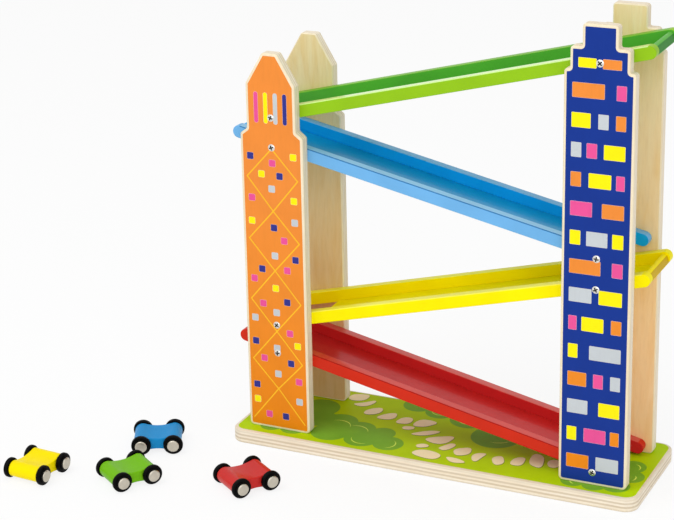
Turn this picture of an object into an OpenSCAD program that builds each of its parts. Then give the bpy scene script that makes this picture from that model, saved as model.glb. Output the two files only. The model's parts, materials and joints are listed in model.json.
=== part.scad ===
// Click clack track toy: a wooden tower frame with four sloping ramps and four little cars.
// A car rolls down a ramp, drops through the gap at its low end onto the ramp below
// and runs back the other way, down to the base board.
// Millimetres. +X runs along the base board, -Y is the front, +Z is up.
// The origin is the centre of the base board's underside.

/* [Base board] */
// Length of the base board
base_len = 380; // [340:1:440]
// Width of the base board, front to back
base_wid = 120; // [110:1:160]
// Thickness of the base board's plywood
base_t = 12; // [9:0.5:18]
// Radius of the base board's corners in plan
base_corner = 12; // [4:0.5:25]

/* [Towers] */
// Width of a tower panel
tower_w = 60; // [50:1:80]
// Thickness of a tower panel's plywood
tower_t = 10; // [7:0.5:15]
// Distance of each tower's centre from the middle of the board
tower_x = 147.5; // [135:0.5:152]
// Clear distance between the front and the rear panels
tower_gap = 68; // [60:1:76]
// Height of the right panels above the board
stepped_h = 400; // [370:1:440]
// Rise of each of the two steps at the top of the right panels
step_rise = 19; // [8:0.5:25]
// Width of the right panels between their two steps
stepped_mid_w = 50; // [42:1:54]
// Width of the right panels at the top
stepped_top_w = 30; // [15:1:36]
// Height of the left panels' tip above the upper ramp screws in them
tip_rise = 57.2; // [45:0.1:80]
// Height above those screws at which the left panels' sloping top begins
eave_rise = 29.2; // [20:0.1:35]
// Width of the left panels' flat tip
tip_w = 14; // [8:1:24]
// Width of the left panels' neck
neck_w = 47; // [40:1:54]
// Depth below those screws at which the left panels' neck begins
neck_drop = 11.3; // [8:0.1:13]
// Depth below those screws at which the left panels leave their full width
shoulder_drop = 16.3; // [15:0.1:22]
// Radius of the panels' outer corners
panel_corner = 3; // [1:0.25:6]
// Radius of the panels' inner corners
panel_notch = 1.5; // [0.5:0.25:3]
// Radius of the panels' bottom corners
panel_foot = 4; // [1:0.25:6]

/* [Ramps] */
// Depth below the right panels' tops at which the top ramp's centre line crosses them
top_ramp_drop = 31.7; // [28:0.1:36]
// Clear height between a ramp's low tip and the rails of the ramp below it
tip_gap = 4.5; // [2:0.1:10]
// Clear height between the lowest ramp's low tip and the base board
first_tip_gap = 0.9; // [0.5:0.1:5]
// How much more the two ramps that run down to the left drop, from the middle to their low tips
drop_difference = 7.4; // [0:0.1:12]
// Distance of a ramp's high tip past the towers' centre lines
high_overhang = 42.5; // [32.5:0.5:52.5]
// Distance of a ramp's low tip past the towers' centre lines
low_overhang = 23.5; // [17.5:0.5:24.5]
// Height of a side rail, square to its slope
rail_h = 11.3; // [9:0.1:12]
// Thickness of a side rail
rail_t = 8.8; // [7:0.1:11]
// Thickness of a ramp's floor strip
floor_t = 1.5; // [1:0.1:4]
// Depth to which the floor strip is let into each rail
floor_inset = 2.5; // [1:0.1:3.5]
// Distance from the floor's low end to the ramp's low tip, the gap that a car drops through
drop_gap = 51.5; // [49:0.5:66]
// Thickness of the end stop bar at a ramp's high end
stop_t = 4.4; // [3:0.1:6]
// Height of the end stop bar above the floor strip
stop_h = 8.1; // [5:0.1:9.7]
// Radius of the end stop bar's outer top edge
stop_round = 1.8; // [1:0.1:4]
// Distance from a ramp's high tip to the outer face of its stop bar, along the slope
stop_setback = 2; // [1.9:0.1:8]
// Glue gap round the floor strips and the stop bars
glue_gap = 0.05; // [0.02:0.01:0.1]

/* [Screws] */
// Shank diameter of the ramp screws
ramp_screw_d = 3; // [2.5:0.1:4]
// Length of the ramp screws under the panel's face
ramp_screw_len = 16; // [13:0.5:17]
// Head diameter of the ramp screws
ramp_head_d = 5.8; // [5:0.1:7.5]
// Height of the ramp screws' raised heads
ramp_head_dome = 0.9; // [0.3:0.1:1.4]
// Shank diameter of the base screws
base_screw_d = 3.5; // [3:0.1:4]
// Length of the base screws
base_screw_len = 34; // [25:1:45]
// Head diameter of the base screws
base_head_d = 6.6; // [6:0.1:8]
// Height of the base screws' nearly flat heads
base_head_dome = 0.3; // [0.1:0.1:0.5]
// Depth of the base screws' heads below the underside
base_head_sink = 0.6; // [0.5:0.1:1.5]
// Distance between the two base screws of one panel
base_screw_gap = 36; // [24:1:40]
// Radial clearance of a screw in the plywood that it passes through
screw_gap = 0.1; // [0.05:0.05:0.3]
// Radial clearance of a screw's shank in the hole that it is driven into
pilot_gap = 0.02; // [0.01:0.01:0.05]
// Width of the arms of the cross in a screw head
cross_w = 1; // [0.6:0.1:1.2]
// Length across the cross in a screw head
cross_len = 4; // [2.4:0.1:4.2]
// Depth of the cross in a screw head
cross_depth = 1.2; // [0.8:0.1:1.6]
// Length of a screw's point
screw_point = 3; // [1:0.5:5]

/* [Cars] */
// Outer diameter of a tyre
tyre_d = 17.7; // [16:0.1:19]
// Distance between a car's axles
wheelbase = 28.7; // [26:0.1:32]
// Width of a car's body
body_w = 30.2; // [24:0.1:32]
// Diameter of the body's round ends
body_end_d = 14.2; // [12.5:0.1:15.5]
// Height of the body's waist
body_waist = 9.8; // [7.5:0.1:11.5]
// Gap between the body's side and a wheel
wheel_gap = 0.4; // [0.3:0.05:0.8]
// Width of a tyre
tyre_w = 4.2; // [3.5:0.1:5]
// Radius of a tyre's shoulders
tyre_round = 1.3; // [0.6:0.1:1.8]
// Diameter of the hub under the tyre
hub_seat_d = 11.4; // [10:0.1:12]
// Diameter of the hub's outer flange
hub_flange_d = 13; // [12.2:0.1:14]
// Width of the hub's outer flange
hub_flange_w = 1; // [0.8:0.1:2]
// Diameter of the steel disc on an axle's end
disc_d = 10.5; // [8:0.1:11.5]
// Thickness of the steel disc
disc_t = 1.4; // [1.3:0.1:2.5]
// Bevel of the steel disc's outer edge
disc_bevel = 0.6; // [0.3:0.1:1.2]
// Outer wall of the steel disc that closes its hole
disc_wall = 0.7; // [0.5:0.1:1]
// Diameter of an axle
axle_d = 3; // [2.5:0.1:4]
// Radial clearance of an axle in the body, a running fit
axle_gap = 0.08; // [0.02:0.01:0.1]
// Radial clearance of the pressed joints between axle, hub, tyre and disc
press_gap = 0.01; // [0.01:0.01:0.03]

/* [Where the cars stand] */
// Blue car, left or right of the middle of the toy
blue_car_x = -245.3; // [-262:0.1:-240]
// Blue car, in front of the middle of the toy
blue_car_y = -94.8; // [-100:0.1:-80]
// Blue car's heading in degrees
blue_car_turn = 26.5; // [0:0.1:40]
// Yellow car, left or right of the middle of the toy
yellow_car_x = -315.1; // [-340:0.1:-305]
// Yellow car, in front of the middle of the toy
yellow_car_y = -186.8; // [-205:0.1:-175]
// Yellow car's heading in degrees
yellow_car_turn = -94.6; // [-120:0.1:-80]
// Green car, left or right of the middle of the toy
green_car_x = -234.1; // [-250:0.1:-225]
// Green car, in front of the middle of the toy
green_car_y = -165.9; // [-180:0.1:-155]
// Green car's heading in degrees
green_car_turn = -125; // [-140:0.1:-110]
// Red car, left or right of the middle of the toy
red_car_x = -133.6; // [-150:0.1:-120]
// Red car, in front of the middle of the toy
red_car_y = -136.8; // [-150:0.1:-128]
// Red car's heading in degrees
red_car_turn = -125.1; // [-140:0.1:-110]

/* [Hidden] */
$fn = 64;
// How far a cut runs past the face that it opens
overrun = 1;
// Number of straight pieces in a rounded panel corner and in a screw head's dome
corner_steps = 6;
dome_steps = 4;

// -1 is the left side or the front, and 1 the right side or the rear
faces = [-1, 1];
sides = [-1, 1];
face_names = ["front", "rear"];
side_names = ["left", "right"];

// Ramps from the lowest to the highest: colour and the side of the high end
ramp_names = ["red", "yellow", "blue", "green"];
ramp_high_sides = [-1, 1, -1, 1];
top_ramp = len(ramp_names) - 1;
ramps = [0 : top_ramp];

// Cars: colour, place and heading
car_names = ["blue", "yellow", "green", "red"];
car_xs = [blue_car_x, yellow_car_x, green_car_x, red_car_x];
car_ys = [blue_car_y, yellow_car_y, green_car_y, red_car_y];
car_turns = [blue_car_turn, yellow_car_turn, green_car_turn, red_car_turn];
cars = [0 : len(car_names) - 1];
axle_names = ["front", "rear"];
axle_ends = [1, -1];

paints = [["red", [0.79, 0.16, 0.11]], ["yellow", [0.97, 0.88, 0.05]],
          ["blue", [0.2, 0.6, 0.86]], ["green", [0.52, 0.76, 0.15]]];
tower_paints = [[0.93, 0.55, 0.2], [0.12, 0.24, 0.6]];
lawn_paint = [0.66, 0.77, 0.1];
steel = [0.75, 0.74, 0.72];
rubber = [0.06, 0.06, 0.07];
hub_black = [0.12, 0.12, 0.13];

// Places along a ramp are measured on its centre line, up the slope from the toy's middle
channel_w = tower_gap - 2 * rail_t;
floor_w = channel_w + 2 * floor_inset;
rail_r = rail_h / 2;
floor_top = floor_t - rail_r;
high_reach = tower_x + high_overhang;
low_reach = tower_x + low_overhang;
floor_low = low_reach - drop_gap;

// The ramps' pitch and slopes follow from the right panels' height and the clear heights at the low tips
top_ramp_h = stepped_h - top_ramp_drop;
tip_spacing = rail_h + tip_gap;
reach_share = tower_x / low_reach;
ramp_pitch = (top_ramp_h - first_tip_gap - rail_r + tip_spacing * (1 + reach_share) / 2
              + drop_difference * (1 - reach_share) / 2) / (top_ramp + (1 + reach_share) / 2);
steep_slope = atan((ramp_pitch - tip_spacing + drop_difference) / low_reach / 2);
gentle_slope = atan((ramp_pitch - tip_spacing - drop_difference) / low_reach / 2);
ramp_slopes = [gentle_slope, steep_slope, gentle_slope, steep_slope];
first_ramp_z = base_t + first_tip_gap + rail_r + low_reach * tan(gentle_slope);

// Height above the board of the upper ramp screws in the left panels
left_screw_h = top_ramp_h - 2 * tower_x * tan(steep_slope);
pointed_h = left_screw_h + tip_rise;
eave_h = left_screw_h + eave_rise;
neck_h = left_screw_h - neck_drop;
shoulder_h = left_screw_h - shoulder_drop;

wheel_r = tyre_d / 2;
wheel_in = body_w / 2 + wheel_gap;
flange_in = wheel_in + tyre_w;
flange_out = flange_in + hub_flange_w;
disc_out = flange_out + disc_t;
axle_len = 2 * (disc_out - disc_wall - press_gap);

function paint(name) = [for (p = paints) if (p[0] == name) p[1]][0];
function slope(i) = ramp_slopes[i];
function ramp_mid_z(i) = first_ramp_z + i * ramp_pitch;
function rail_z(i, x) = ramp_mid_z(i) + ramp_high_sides[i] * x * tan(slope(i));
function along(i, reach) = reach / cos(slope(i));

// An outline of [x, y, radius] corners with each corner replaced by an arc
function unit(v) = v / norm(v);
function turned(a) = a > 180 ? a - 360 : a < -180 ? a + 360 : a;
function corner_arc(before, at, after, r) =
    let (a = unit(before - at), b = unit(after - at),
         half = acos(a * b) / 2,
         centre = at + unit(a + b) * r / sin(half),
         from_v = at + a * r / tan(half) - centre,
         to_v = at + b * r / tan(half) - centre,
         start = atan2(from_v[1], from_v[0]),
         swing = turned(atan2(to_v[1], to_v[0]) - start))
    [for (k = [0 : corner_steps]) centre + r * [cos(start + swing * k / corner_steps),
                                                sin(start + swing * k / corner_steps)]];
function rounded(corners) =
    let (n = len(corners))
    [for (k = [0 : n - 1], p = corner_arc(
        [corners[(k + n - 1) % n][0], corners[(k + n - 1) % n][1]],
        [corners[k][0], corners[k][1]],
        [corners[(k + 1) % n][0], corners[(k + 1) % n][1]],
        corners[k][2])) p];
// The left half of a symmetrical outline is its right half mirrored
function both_halves(half) =
    concat(half, [for (k = [len(half) - 1 : -1 : 0]) [-half[k][0], half[k][1], half[k][2]]]);

stepped_outline = both_halves([
    [tower_w / 2, 0, panel_foot],
    [tower_w / 2, stepped_h - 2 * step_rise, panel_corner],
    [stepped_mid_w / 2, stepped_h - 2 * step_rise, panel_notch],
    [stepped_mid_w / 2, stepped_h - step_rise, panel_corner],
    [stepped_top_w / 2, stepped_h - step_rise, panel_notch],
    [stepped_top_w / 2, stepped_h, panel_corner]]);
pointed_outline = both_halves([
    [tower_w / 2, 0, panel_foot],
    [tower_w / 2, shoulder_h, panel_corner],
    [neck_w / 2, neck_h, panel_notch],
    [neck_w / 2, eave_h, panel_corner],
    [tip_w / 2, pointed_h, panel_corner]]);

// Extrudes an upright outline to both sides of the plane y = 0
module upright(thickness) {
    rotate([90, 0, 0]) linear_extrude(height = thickness, center = true) children();
}

// A plan rectangle with round corners, centred on the origin
module rounded_plan(length, width, r) {
    square([length - 2 * r, width], center = true);
    square([length, width - 2 * r], center = true);
    for (sx = [-1, 1], sy = [-1, 1])
        translate([sx * (length / 2 - r), sy * (width / 2 - r)]) circle(r = r);
}

// A raised countersunk cross-head screw: its rim lies at z = 0 and it points down
module screw(d, shank_len, head_d, dome) {
    head_r = head_d / 2;
    cap_r = (head_r * head_r + dome * dome) / (2 * dome);
    difference() {
        rotate_extrude() polygon(concat(
            [[0, -shank_len], [d / 2, screw_point - shank_len], [d / 2, d / 2 - head_r]],
            [for (k = [0 : dome_steps])
                let (r = head_r * (1 - k / dome_steps))
                [r, dome - cap_r + sqrt(cap_r * cap_r - r * r)]]));
        for (turn = [0, 90]) rotate([0, 0, turn])
            translate([-cross_len / 2, -cross_w / 2, dome - cross_depth])
                cube([cross_len, cross_w, cross_depth + overrun]);
    }
}

// The hole that such a screw passes through, with its countersink
module screw_hole(d, depth, head_d, sink) {
    r = d / 2 + screw_gap;
    mouth_r = head_d / 2 + screw_gap;
    translate([0, 0, -depth - overrun]) cylinder(r = r, h = depth + 2 * overrun);
    translate([0, 0, r - mouth_r]) cylinder(r1 = r, r2 = mouth_r, h = mouth_r - r);
    cylinder(r = mouth_r, h = sink + overrun);
}

// The narrower hole that a screw is driven into
module pilot_hole(d, shank_len) {
    translate([0, 0, -shank_len - screw_gap]) cylinder(r = d / 2 + pilot_gap, h = shank_len);
}

// The four places on one panel where a ramp's rail is screwed on, looking out of the panel
module at_ramp_screws(side, face) {
    for (i = ramps)
        translate([side * tower_x, face * (tower_gap / 2 + tower_t), rail_z(i, side * tower_x)])
            rotate([-90 * face, 0, 0]) children();
}

// The two places under one panel where it is screwed to the board, looking down
module at_base_screws(side, face) {
    for (s = sides)
        translate([side * tower_x + s * base_screw_gap / 2,
                   face * (tower_gap + tower_t) / 2, base_head_sink])
            rotate([180, 0, 0]) children();
}

module base_board() {
    color(lawn_paint) difference() {
        linear_extrude(height = base_t) rounded_plan(base_len, base_wid, base_corner);
        for (side = sides, face = faces)
            at_base_screws(side, face)
                screw_hole(base_screw_d, base_t - base_head_sink, base_head_d, base_head_sink);
    }
}

module tower(side, face) {
    color(tower_paints[side < 0 ? 0 : 1]) difference() {
        translate([side * tower_x, face * (tower_gap + tower_t) / 2, base_t]) upright(tower_t)
            polygon(rounded(side < 0 ? pointed_outline : stepped_outline));
        at_ramp_screws(side, face) screw_hole(ramp_screw_d, tower_t, ramp_head_d, 0);
        at_base_screws(side, face) pilot_hole(base_screw_d, base_screw_len);
    }
}

// Puts a piece that is drawn along a level centre line on ramp i
module on_ramp(i) {
    translate([0, 0, ramp_mid_z(i)])
        if (ramp_high_sides[i] > 0) rotate([0, -slope(i), 0]) children();
        else mirror([1, 0, 0]) rotate([0, -slope(i), 0]) children();
}

// A rail's side view: a long bar with half-round ends
module rail_outline(i) {
    high = along(i, high_reach) - rail_r;
    low = -along(i, low_reach) + rail_r;
    translate([low, -rail_r]) square([high - low, rail_h]);
    translate([low, 0]) circle(r = rail_r);
    translate([high, 0]) circle(r = rail_r);
}

module ramp_rail(i, face) {
    floor_end = -along(i, floor_low) - glue_gap;
    color(paint(ramp_names[i])) difference() {
        on_ramp(i) difference() {
            translate([0, face * (tower_gap - rail_t) / 2, 0]) upright(rail_t) rail_outline(i);
            translate([floor_end, -floor_w / 2 - glue_gap, -rail_h])
                cube([along(i, high_reach) + overrun - floor_end, floor_w + 2 * glue_gap,
                      rail_h + floor_top + glue_gap]);
        }
        for (side = sides)
            at_ramp_screws(side, face) pilot_hole(ramp_screw_d, ramp_screw_len);
    }
}

module ramp_floor(i) {
    floor_end = -along(i, floor_low);
    color(paint(ramp_names[i])) on_ramp(i) upright(floor_w) intersection() {
        rail_outline(i);
        translate([floor_end, -rail_r])
            square([along(i, high_reach) - floor_end, floor_t]);
    }
}

module ramp_stop(i) {
    outer = along(i, high_reach) - stop_setback;
    color(paint(ramp_names[i])) on_ramp(i)
        translate([outer - stop_t, 0, floor_top + glue_gap])
            upright(channel_w - 2 * glue_gap) {
                square([stop_t - stop_round, stop_h]);
                square([stop_t, stop_h - stop_round]);
                translate([stop_t - stop_round, stop_h - stop_round]) circle(r = stop_round);
            }
}

module ramp_screws() {
    color(steel) for (side = sides, face = faces)
        at_ramp_screws(side, face)
            screw(ramp_screw_d, ramp_screw_len, ramp_head_d, ramp_head_dome);
}

module base_screws() {
    color(steel) for (side = sides, face = faces)
        at_base_screws(side, face)
            screw(base_screw_d, base_screw_len, base_head_d, base_head_dome);
}

module at_car(c) {
    translate([car_xs[c], car_ys[c], wheel_r]) rotate([0, 0, car_turns[c]]) children();
}

// The middle of one axle of a car, with z along the axle
module at_axle(c, end) {
    at_car(c) translate([end * wheelbase / 2, 0, 0]) rotate([90, 0, 0]) children();
}

// Both ends of an axle, seen outwards
module at_both_wheels(c, end) {
    at_axle(c, end) {
        children();
        mirror([0, 0, 1]) children();
    }
}

// A body's side view: two round ends joined by hollows that run tangent to them
module body_outline() {
    r = body_end_d / 2;
    x = wheelbase / 2;
    waist = body_waist / 2;
    hollow_r = (x * x + waist * waist - r * r) / (2 * (r - waist));
    hollow_z = hollow_r + waist;
    touch_share = r / (hollow_r + r);
    touch_x = x * (1 - touch_share);
    touch_z = hollow_z * touch_share;
    for (s = [-1, 1]) translate([s * x, 0]) circle(r = r);
    difference() {
        polygon([[-x, 0], [-touch_x, -touch_z], [touch_x, -touch_z],
                 [x, 0], [touch_x, touch_z], [-touch_x, touch_z]]);
        for (s = [-1, 1]) translate([0, s * hollow_z]) circle(r = hollow_r, $fn = 3 * $fn);
    }
}

module car_body(c) {
    color(paint(car_names[c])) difference() {
        at_car(c) upright(body_w) body_outline();
        for (end = axle_ends) at_axle(c, end)
            cylinder(r = axle_d / 2 + axle_gap, h = body_w + 2 * overrun, center = true);
    }
}

module car_axle(c, end) {
    color(steel) at_axle(c, end) cylinder(r = axle_d / 2, h = axle_len, center = true);
}

module car_hubs(c, end) {
    bore_r = axle_d / 2 + press_gap;
    color(hub_black) at_both_wheels(c, end) rotate_extrude() polygon([
        [bore_r, wheel_in], [hub_seat_d / 2, wheel_in], [hub_seat_d / 2, flange_in],
        [hub_flange_d / 2, flange_in], [hub_flange_d / 2, flange_out], [bore_r, flange_out]]);
}

module car_tyres(c, end) {
    inner_r = hub_seat_d / 2 + press_gap;
    color(rubber) at_both_wheels(c, end) rotate_extrude() {
        translate([inner_r, wheel_in])
            square([wheel_r - tyre_round - inner_r, tyre_w - press_gap]);
        translate([inner_r, wheel_in + tyre_round])
            square([wheel_r - inner_r, tyre_w - press_gap - 2 * tyre_round]);
        for (z = [wheel_in + tyre_round, flange_in - press_gap - tyre_round])
            translate([wheel_r - tyre_round, z]) circle(r = tyre_round);
    }
}

module car_discs(c, end) {
    bore_r = axle_d / 2 + press_gap;
    color(steel) at_both_wheels(c, end) rotate_extrude() polygon([
        [bore_r, flange_out + press_gap], [disc_d / 2, flange_out + press_gap],
        [disc_d / 2, disc_out - disc_bevel], [disc_d / 2 - disc_bevel, disc_out],
        [0, disc_out], [0, disc_out - disc_wall], [bore_r, disc_out - disc_wall]]);
}

base_board();
for (s = [0, 1], f = [0, 1])
    tower(sides[s], faces[f]);
for (i = ramps) {
    ramp_rail(i, faces[0]);
    ramp_rail(i, faces[1]);
    ramp_floor(i);
    ramp_stop(i);
}
ramp_screws();
base_screws();
for (c = cars) {
    car_body(c);
    for (e = [0, 1]) {
        wheel_set = str(car_names[c], "_car_", axle_names[e]);
        car_axle(c, axle_ends[e]);
        car_hubs(c, axle_ends[e]);
        car_tyres(c, axle_ends[e]);
        car_discs(c, axle_ends[e]);
    }
}
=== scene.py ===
import json
import math
import random

import bmesh
import bpy
from mathutils import Matrix, Vector
from mathutils.geometry import delaunay_2d_cdt


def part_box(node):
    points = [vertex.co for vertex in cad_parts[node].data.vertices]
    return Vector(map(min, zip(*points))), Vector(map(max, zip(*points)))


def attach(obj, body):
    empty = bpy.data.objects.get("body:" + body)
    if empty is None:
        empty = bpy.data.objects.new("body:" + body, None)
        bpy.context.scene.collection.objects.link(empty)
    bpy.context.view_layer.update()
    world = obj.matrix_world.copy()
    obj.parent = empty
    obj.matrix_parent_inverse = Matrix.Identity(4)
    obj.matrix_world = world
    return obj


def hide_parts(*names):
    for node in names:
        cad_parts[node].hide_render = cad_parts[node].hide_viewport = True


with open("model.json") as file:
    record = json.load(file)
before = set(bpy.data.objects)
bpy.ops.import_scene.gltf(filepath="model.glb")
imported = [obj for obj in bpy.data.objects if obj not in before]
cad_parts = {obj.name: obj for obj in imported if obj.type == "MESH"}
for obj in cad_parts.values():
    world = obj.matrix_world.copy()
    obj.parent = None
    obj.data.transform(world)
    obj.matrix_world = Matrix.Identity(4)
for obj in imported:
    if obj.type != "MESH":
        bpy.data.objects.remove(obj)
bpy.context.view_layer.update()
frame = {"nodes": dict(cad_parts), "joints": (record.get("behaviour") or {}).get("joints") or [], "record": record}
record = frame["record"]
bodyOf = {node: body for body, nodes in record["behaviour"]["bodies"].items() for node in nodes}
joints = {joint["name"]: joint for joint in frame["joints"]}
mm = 0.001
white = (1, 1, 1, 1)
scene = bpy.context.scene
print("frame loaded:", len(frame["nodes"]), "nodes")


# camera, floor and light

# the view is in metres and degrees, and its lens in pixels of the photograph
cameraView = {
    "place": (0.6357, -1.5675, 0.7960),
    "yaw": 25.326, "pitch": -17.831, "roll": -1.191,
    "focalPixels": 2065.6, "frameWidth": 674, "shiftPixels": 77.5,
    "sensorWidth": 36, "clip": (0.05, 60),
}
studio = {
    "worldStrength": 0.72,
    "lamps": {
        "key": {"power": 12.5, "direction": (-0.30, -0.42, 0.86), "distance": 2.2, "size": 1.4},
        "fill": {"power": 12, "direction": (0.40, -0.80, 0.45), "distance": 2.2, "size": 1.8},
    },
    "aim": (0, 0, 0.15),
    "floorRadius": 9, "floorCorners": 96, "floorTone": 0.94, "floorGlow": 0.84,
}


def makeCamera(look):
    yaw, pitch, roll = (math.radians(look[key]) for key in ("yaw", "pitch", "roll"))
    ahead = Vector((-math.sin(yaw) * math.cos(pitch), math.cos(yaw) * math.cos(pitch), math.sin(pitch)))
    right = ahead.cross(Vector((0, 0, 1))).normalized()
    up = right.cross(ahead)
    across = right * math.cos(roll) + up * math.sin(roll)
    upright = up * math.cos(roll) - right * math.sin(roll)
    data = bpy.data.cameras.new("photoCamera")
    data.sensor_fit = "HORIZONTAL"
    data.sensor_width = look["sensorWidth"]
    data.lens = look["sensorWidth"] * look["focalPixels"] / look["frameWidth"]
    data.shift_y = -look["shiftPixels"] / look["frameWidth"]
    data.clip_start, data.clip_end = look["clip"]
    camera = bpy.data.objects.new("photoCamera", data)
    turn = Matrix((across, upright, -ahead)).transposed().to_4x4()
    camera.matrix_world = Matrix.Translation(look["place"]) @ turn
    scene.collection.objects.link(camera)
    scene.camera = camera


def addNode(tree, kind, inputs=None, **settings):
    made = tree.nodes.new("ShaderNode" + kind)
    for key, value in settings.items():
        setattr(made, key, value)
    for key, value in (inputs or {}).items():
        made.inputs[key].default_value = value
    return made


def maths(tree, operation, *values):
    # a Math node, with numbers or sockets for its values
    made = addNode(tree, "Math", operation=operation)
    for socket, value in zip(made.inputs, values):
        if isinstance(value, float):
            socket.default_value = value
        else:
            tree.links.new(value, socket)
    return made.outputs[0]


def mapRange(tree, amount, limits):
    made = addNode(tree, "MapRange", limits)
    tree.links.new(amount, made.inputs["Value"])
    return made.outputs[0]


def seenRay(tree):
    # 1 for camera, glossy and transmission rays, 0 for the rays that light the toy
    path = addNode(tree, "LightPath")
    seen = path.outputs["Is Camera Ray"]
    for kind in ("Glossy", "Transmission"):
        seen = maths(tree, "MAXIMUM", seen, path.outputs[f"Is {kind} Ray"])
    return seen


def makeWorld(look):
    # white to the camera, and a dimmer light on the toy
    world = bpy.data.worlds.new("studioWorld")
    scene.world = world
    world.use_nodes = True
    tree = world.node_tree
    background = tree.nodes["Background"]
    background.inputs["Color"].default_value = white
    strength = mapRange(tree, seenRay(tree), {"To Min": look["worldStrength"], "To Max": 1.0})
    tree.links.new(strength, background.inputs["Strength"])


def makeLamps(look):
    for name, settings in look["lamps"].items():
        data = bpy.data.lights.new(name + "Lamp", "AREA")
        data.energy = settings["power"]
        data.size = settings["size"]
        lamp = bpy.data.objects.new(name + "Lamp", data)
        toLamp = Vector(settings["direction"]).normalized()
        lamp.location = Vector(look["aim"]) + toLamp * settings["distance"]
        lamp.rotation_euler = toLamp.to_track_quat("Z", "Y").to_euler()
        scene.collection.objects.link(lamp)


def makeFloor(look):
    # a white sheet to the camera that still shows the toy's shadow, and a matt one to the light
    shape = bmesh.new()
    bmesh.ops.create_circle(shape, cap_ends=True, radius=look["floorRadius"], segments=look["floorCorners"])
    mesh = bpy.data.meshes.new("studioFloor")
    shape.to_mesh(mesh)
    shape.free()
    floor = bpy.data.objects.new("studioFloor", mesh)
    scene.collection.objects.link(floor)
    paper = bpy.data.materials.new("paleFloor")
    paper.use_nodes = True
    tree = paper.node_tree
    tree.nodes.remove(tree.nodes["Principled BSDF"])
    tone = look["floorTone"]
    matt = addNode(tree, "BsdfDiffuse", {"Color": (tone, tone, tone, 1)})
    glow = addNode(tree, "Emission", {"Color": white, "Strength": 1.0})
    mix = addNode(tree, "MixShader")
    tree.links.new(maths(tree, "MULTIPLY", seenRay(tree), look["floorGlow"]), mix.inputs[0])
    tree.links.new(matt.outputs[0], mix.inputs[1])
    tree.links.new(glow.outputs[0], mix.inputs[2])
    tree.links.new(mix.outputs[0], tree.nodes["Material Output"].inputs["Surface"])
    mesh.materials.append(paper)


scene.view_settings.view_transform = "Standard"
makeCamera(cameraView)
makeWorld(studio)
makeLamps(studio)
makeFloor(studio)
print("camera, floor and light made")


# materials

def colour(code):
    # a hex code as a linear colour
    parts = [int(code[k:k + 2], 16) / 255 for k in (0, 2, 4)]
    return tuple(c / 12.92 if c <= 0.04045 else ((c + 0.055) / 1.055) ** 2.4 for c in parts) + (1,)


def newMaterial(name, **sockets):
    material = bpy.data.materials.new(name)
    material.use_nodes = True
    surface = material.node_tree.nodes["Principled BSDF"]
    for key, value in sockets.items():
        surface.inputs[key.replace("_", " ")].default_value = value
    return material, material.node_tree, surface


def noise(tree, stretch, detail, rough=0.5, warp=0.0):
    # noise in the toy's own space, with its scale per metre on each axis
    place = addNode(tree, "TexCoord")
    mapping = addNode(tree, "Mapping", {"Scale": stretch})
    made = addNode(tree, "TexNoise", {"Scale": 1.0, "Detail": detail, "Roughness": rough, "Distortion": warp})
    tree.links.new(place.outputs["Object"], mapping.inputs["Vector"])
    tree.links.new(mapping.outputs[0], made.inputs["Vector"])
    return made.outputs["Fac"]


def position(tree, axis):
    # the place on one axis of the toy's own space, in metres
    place = addNode(tree, "TexCoord")
    parts = addNode(tree, "SeparateXYZ")
    tree.links.new(place.outputs["Object"], parts.inputs[0])
    return parts.outputs[axis]


def heightShare(tree, bottom, top):
    # 0 at the bottom height and 1 at the top height, in metres above the floor
    return mapRange(tree, position(tree, "Z"), {"From Min": bottom, "From Max": top})


def blendOver(tree, amount, low, high, spread=(0.3, 0.7)):
    # a colour that goes from low to high as amount rises through the spread
    ramp = addNode(tree, "ValToRGB")
    stops = ramp.color_ramp.elements
    stops[0].position, stops[1].position = spread
    stops[0].color, stops[1].color = low, high
    tree.links.new(amount, ramp.inputs[0])
    return ramp.outputs["Color"]


def multiply(tree, first, second, amount=1.0):
    # darkens the first colour by the second; 6 and 7 are the Mix node's colour sockets
    mix = addNode(tree, "Mix", data_type="RGBA", blend_type="MULTIPLY")
    mix.inputs["Factor"].default_value = amount
    tree.links.new(first, mix.inputs[6])
    tree.links.new(second, mix.inputs[7])
    return mix.outputs[2]


def ranged(tree, amount, low, high):
    # stretches noise, which mostly lies between a quarter and three quarters, from low to high
    return mapRange(tree, amount, {"From Min": 0.25, "From Max": 0.75, "To Min": low, "To Max": high})


def scaled(code, factor):
    return tuple(min(1, c * factor) for c in colour(code)[:3]) + (1,)


def finishSurface(tree, surface, body, gloss, roughRange, height, relief):
    # relief is the depth in metres that the height noise stands for, and its strength
    bump = addNode(tree, "Bump", {"Distance": relief[0], "Strength": relief[1]})
    tree.links.new(body, surface.inputs["Base Color"])
    tree.links.new(ranged(tree, gloss, *roughRange), surface.inputs["Roughness"])
    tree.links.new(height, bump.inputs["Height"])
    tree.links.new(bump.outputs[0], surface.inputs["Normal"])


# in these settings a noise is its scale on each axis, then its detail, roughness and distortion
birch = {"cream": "f8eedb", "beige": "dccdb4", "face": "f3e6c8", "pore": "d8cbb4"}
plyFinish = {
    "rough": 0.62, "roughRange": (0.52, 0.70), "coat": 0.15, "coatRough": 0.4, "relief": (0.00012, 0.5),
    "wanderNoise": ((30, 30, 30), 2.0), "grainDetail": (5.0, 0.62, 0.6), "poreDetail": (2.0, 0.5),
    "wander": 0.0003, "glueLine": 0.012, "streakSpread": (0.34, 0.62), "streakAmount": 0.3,
    "poreSpread": (0.35, 0.6), "poreAmount": 0.16,
}
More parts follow.
